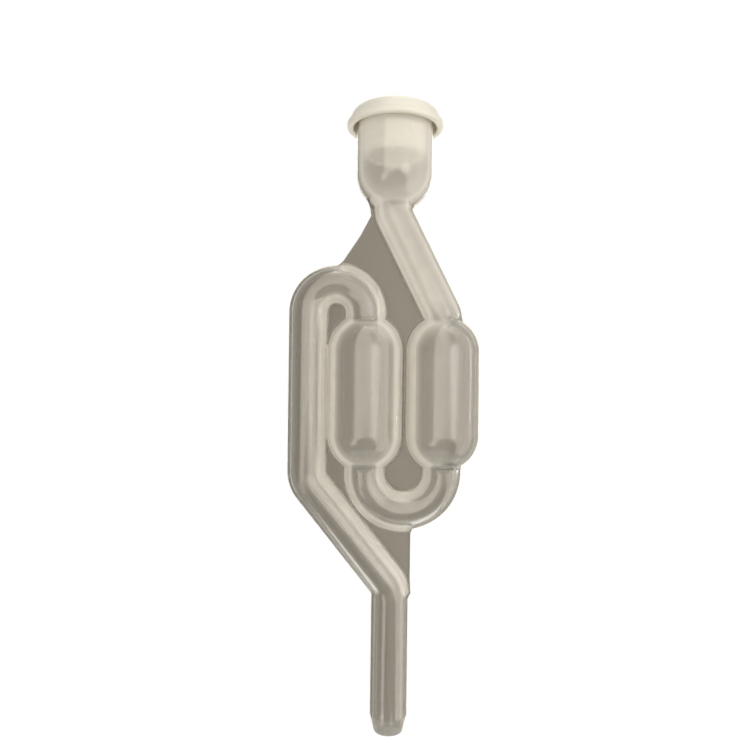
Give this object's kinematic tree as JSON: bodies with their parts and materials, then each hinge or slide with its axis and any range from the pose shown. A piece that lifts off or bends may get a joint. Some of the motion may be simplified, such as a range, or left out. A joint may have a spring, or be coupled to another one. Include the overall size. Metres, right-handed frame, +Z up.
{
  "type": "s bend airlock",
  "caption": "Clear S-bend airlock for a fermentation vessel: stem, leg and arch lead to bulbs joined by a U-bend, with a flat web between the tubes and a vented cap on the cup.",
  "frame": {"origin": "centre of the stem's open lower end, on the stem's axis", "axes": "+Z up along the stem to the cap, -Y the front, +X from the leg towards the outlet bulb; every tube's centreline lies in the plane Y = 0"},
  "size_m": [0.05, 0.025, 0.1621],
  "materials": {
    "clear_body": "glossy, milky clear moulded plastic",
    "clear_web": "glossy, milky clear moulded sheet",
    "cap_cream": "satin, translucent cream plastic"
  },
  "bodies": {
    "body": {"front_cup": "clear_body", "front_cup_tube": "clear_body", "front_right_bulb": "clear_body", "front_u_bend": "clear_body", "front_left_bulb": "clear_body", "front_arch": "clear_body", "front_leg": "clear_body", "front_slant": "clear_body", "front_stem": "clear_body", "front_web_upper": "clear_web", "front_web_centre": "clear_web", "front_web_side": "clear_web", "front_web_lower": "clear_web", "rear_cup": "clear_body", "rear_cup_tube": "clear_body", "rear_right_bulb": "clear_body", "rear_u_bend": "clear_body", "rear_left_bulb": "clear_body", "rear_arch": "clear_body", "rear_leg": "clear_body", "rear_slant": "clear_body", "rear_stem": "clear_body", "rear_web_upper": "clear_web", "rear_web_centre": "clear_web", "rear_web_side": "clear_web", "rear_web_lower": "clear_web"},
    "cap": {"cap": "cap_cream"}
  },
  "joints": [
    {"name": "cap_lift", "type": "slide", "parent": "body", "child": "cap", "axis": [0, 0, 1], "range_m": [0, 0.03]}
  ]
}
